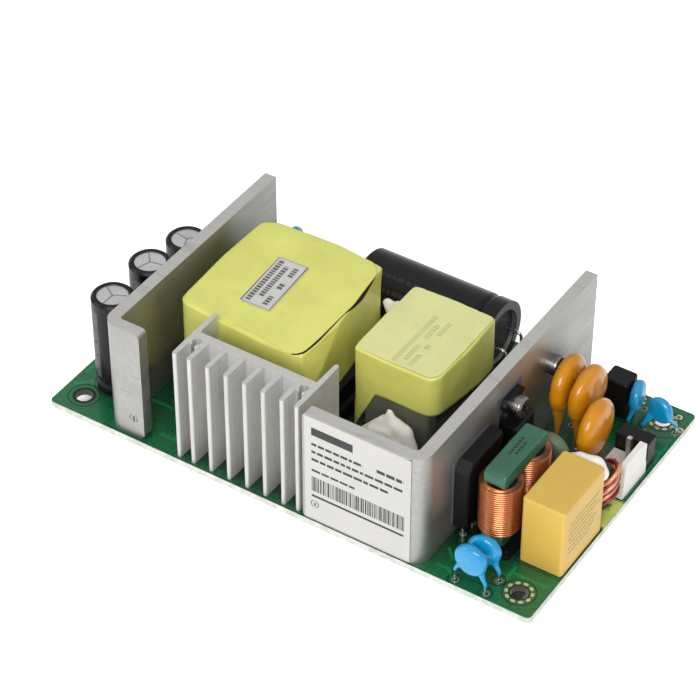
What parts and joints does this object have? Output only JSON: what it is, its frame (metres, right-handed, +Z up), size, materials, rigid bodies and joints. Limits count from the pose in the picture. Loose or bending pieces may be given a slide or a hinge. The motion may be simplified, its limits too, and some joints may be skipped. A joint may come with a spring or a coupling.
{
  "type": "led driver board",
  "caption": "Open-frame LED driver board with bent plate and finned heatsinks, taped transformer and choke, round capacitors, mains filter parts and corner mounting holes.",
  "frame": {"origin": "centre of the rectangle of the four board mounting holes, on the underside of the board", "axes": "+X along the board from the output end to the mains end, +Y across the board to the side with the lying bulk capacitor, +Z up out of the component side"},
  "size_m": [0.127, 0.0762, 0.0344],
  "materials": {
    "laminate": "glossy green solder mask on glass laminate",
    "solder": "bright solder",
    "plate_aluminium": "brushed bare plate",
    "extruded_aluminium": "as extruded, drawn lines along the fins",
    "tinned_steel": "tin plated",
    "ferrite": "matt ground ceramic",
    "black_moulding": "semi-matt moulding",
    "copper": "enamelled copper wire",
    "yellow_tape": "glossy polyester tape",
    "tinned_wire": "tinned wire",
    "capacitor_aluminium": "satin drawn can",
    "black_sleeve": "shrunk sleeve, soft gloss",
    "seal_rubber": "matt",
    "tinned_copper": "tin plated copper",
    "pad_rubber": "thin grey filled silicone",
    "plated_steel": "bright plated",
    "green_core_coating": "smooth green powder coating",
    "yellow_case": "moulded case with resin fill",
    "blue_coating": "glossy dipped epoxy",
    "orange_coating": "glossy dipped epoxy",
    "grey_green_coating": "dull dipped resin",
    "white_moulding": "white nylon",
    "silicone": "soft white silicone"
  },
  "bodies": {
    "root": {"circuit_board": "laminate", "solder_joints": "solder", "output_heatsink": "plate_aluminium", "input_heatsink": "plate_aluminium", "finned_heatsink": "extruded_aluminium", "finned_heatsink_pins": "tinned_steel", "main_transformer_core": "ferrite", "main_transformer_bobbin": "black_moulding", "main_transformer_winding": "copper", "main_transformer_tape": "yellow_tape", "main_transformer_pins": "tinned_wire", "pfc_choke_core": "ferrite", "pfc_choke_bobbin": "black_moulding", "pfc_choke_winding": "copper", "pfc_choke_tape": "yellow_tape", "pfc_choke_pins": "tinned_wire", "bulk_capacitor_can": "capacitor_aluminium", "bulk_capacitor_sleeve": "black_sleeve", "bulk_capacitor_bung": "seal_rubber", "bulk_capacitor_leads": "tinned_wire", "output_capacitor_cans": "capacitor_aluminium", "output_capacitor_sleeves": "black_sleeve", "output_capacitor_leads": "tinned_wire", "power_device_bodies": "black_moulding", "power_device_tabs": "tinned_copper", "power_device_leads": "tinned_wire", "insulating_pads": "pad_rubber", "device_screws": "plated_steel", "spring_washers": "plated_steel", "device_nuts": "plated_steel", "bridge_rectifier_body": "black_moulding", "bridge_rectifier_leads": "tinned_wire", "line_choke_core": "green_core_coating", "line_choke_base": "black_moulding", "line_choke_tubes": "black_moulding", "line_choke_windings": "copper", "line_choke_pins": "tinned_wire", "x_capacitor_case": "yellow_case", "x_capacitor_leads": "tinned_wire", "y_capacitor_discs": "blue_coating", "y_capacitor_leads": "tinned_wire", "varistor_discs": "orange_coating", "varistor_leads": "tinned_wire", "thermistor_disc": "grey_green_coating", "thermistor_leads": "tinned_wire", "fuse_body": "black_moulding", "fuse_leads": "tinned_wire", "black_capacitor_case": "black_moulding", "black_capacitor_leads": "tinned_wire", "mains_header_housing": "white_moulding", "mains_header_pins": "tinned_copper", "output_header_housing": "white_moulding", "output_header_pins": "tinned_copper", "rod_choke_core": "ferrite", "rod_choke_winding": "copper", "rod_choke_leads": "tinned_wire", "adhesive_front": "silicone", "adhesive_middle": "silicone", "adhesive_rear": "silicone"}
  },
  "joints": []
}
